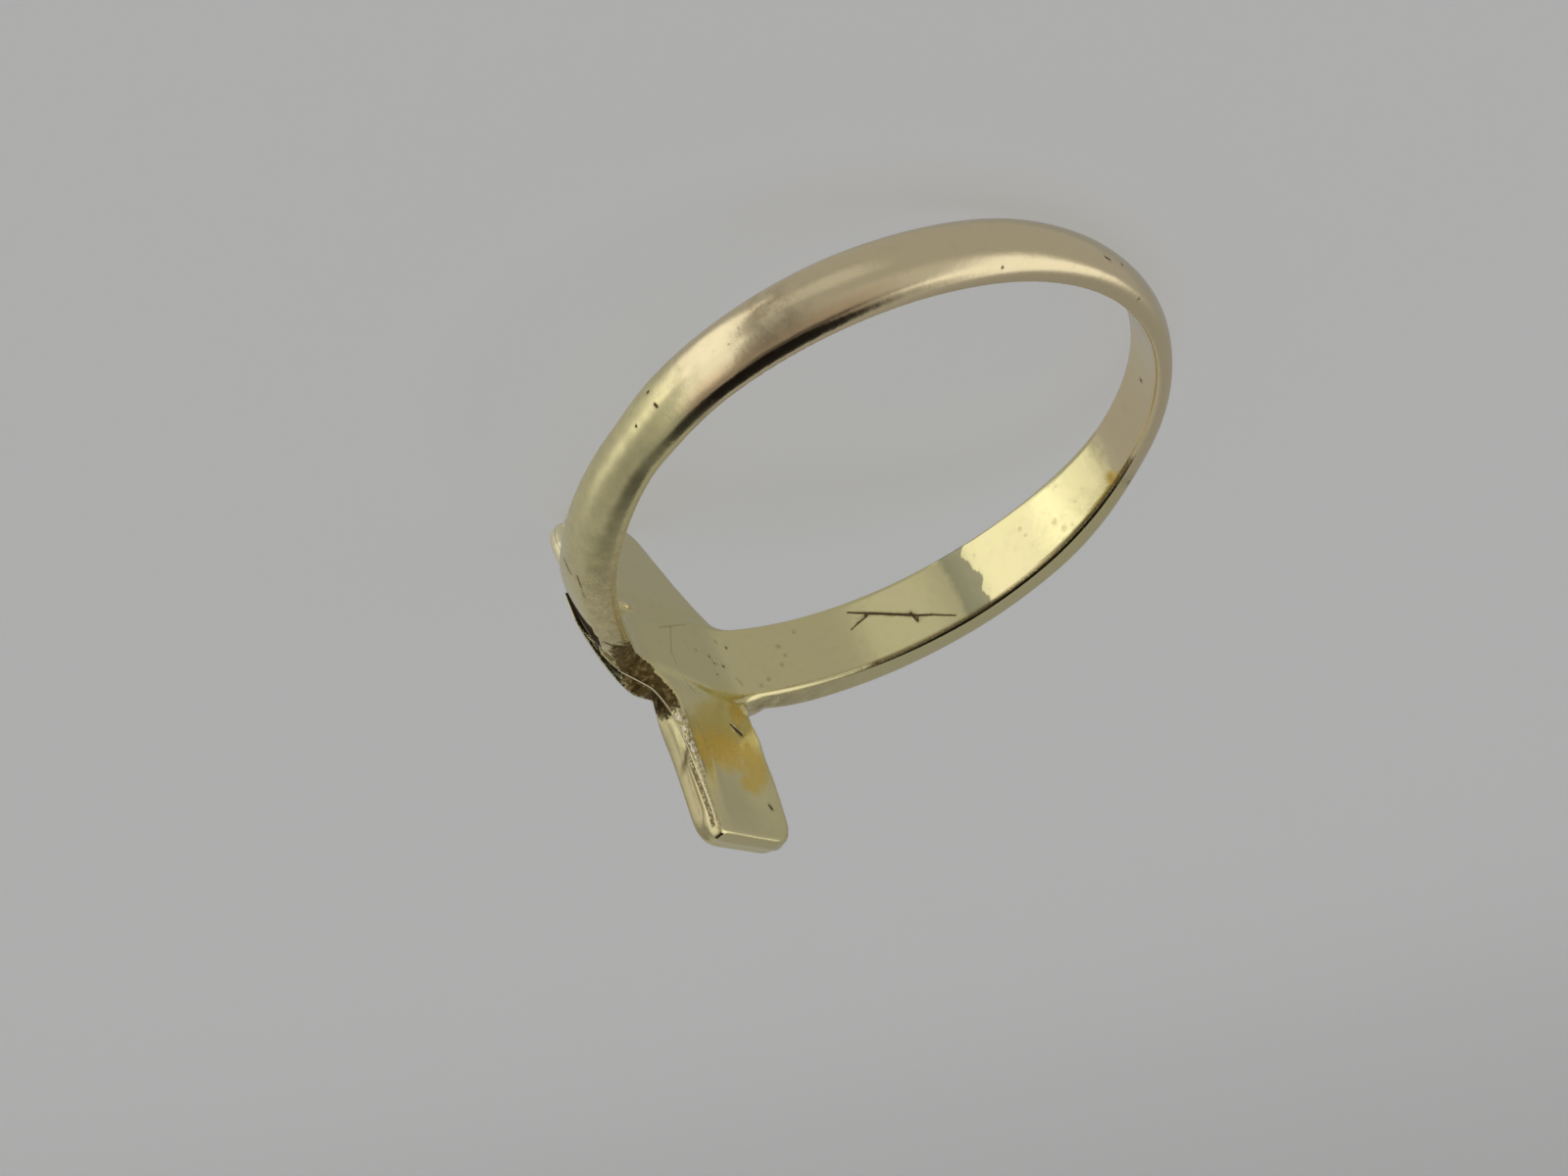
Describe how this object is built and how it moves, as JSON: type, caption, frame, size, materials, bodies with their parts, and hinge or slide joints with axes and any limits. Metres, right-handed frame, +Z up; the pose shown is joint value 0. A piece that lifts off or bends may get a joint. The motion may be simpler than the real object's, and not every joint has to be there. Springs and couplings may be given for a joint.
{
  "type": "crucifix ring",
  "caption": "Gold finger ring with a cross as its head: domed shoulders taper to a narrow back, and the long bar of the cross lies along the finger, both ends bent away.",
  "frame": {"origin": "centre of the footprint of the ring as it lies on its side, at floor level", "axes": "+Z up from the floor, +X towards the cross, +Y across the head of the ring, along its side arms"},
  "size_m": [0.0204, 0.019, 0.0117],
  "materials": {
    "worn_gold": "worn polish with solder stains and fine scratches"
  },
  "bodies": {
    "root": {"crucifix_ring": "worn_gold"}
  },
  "joints": []
}
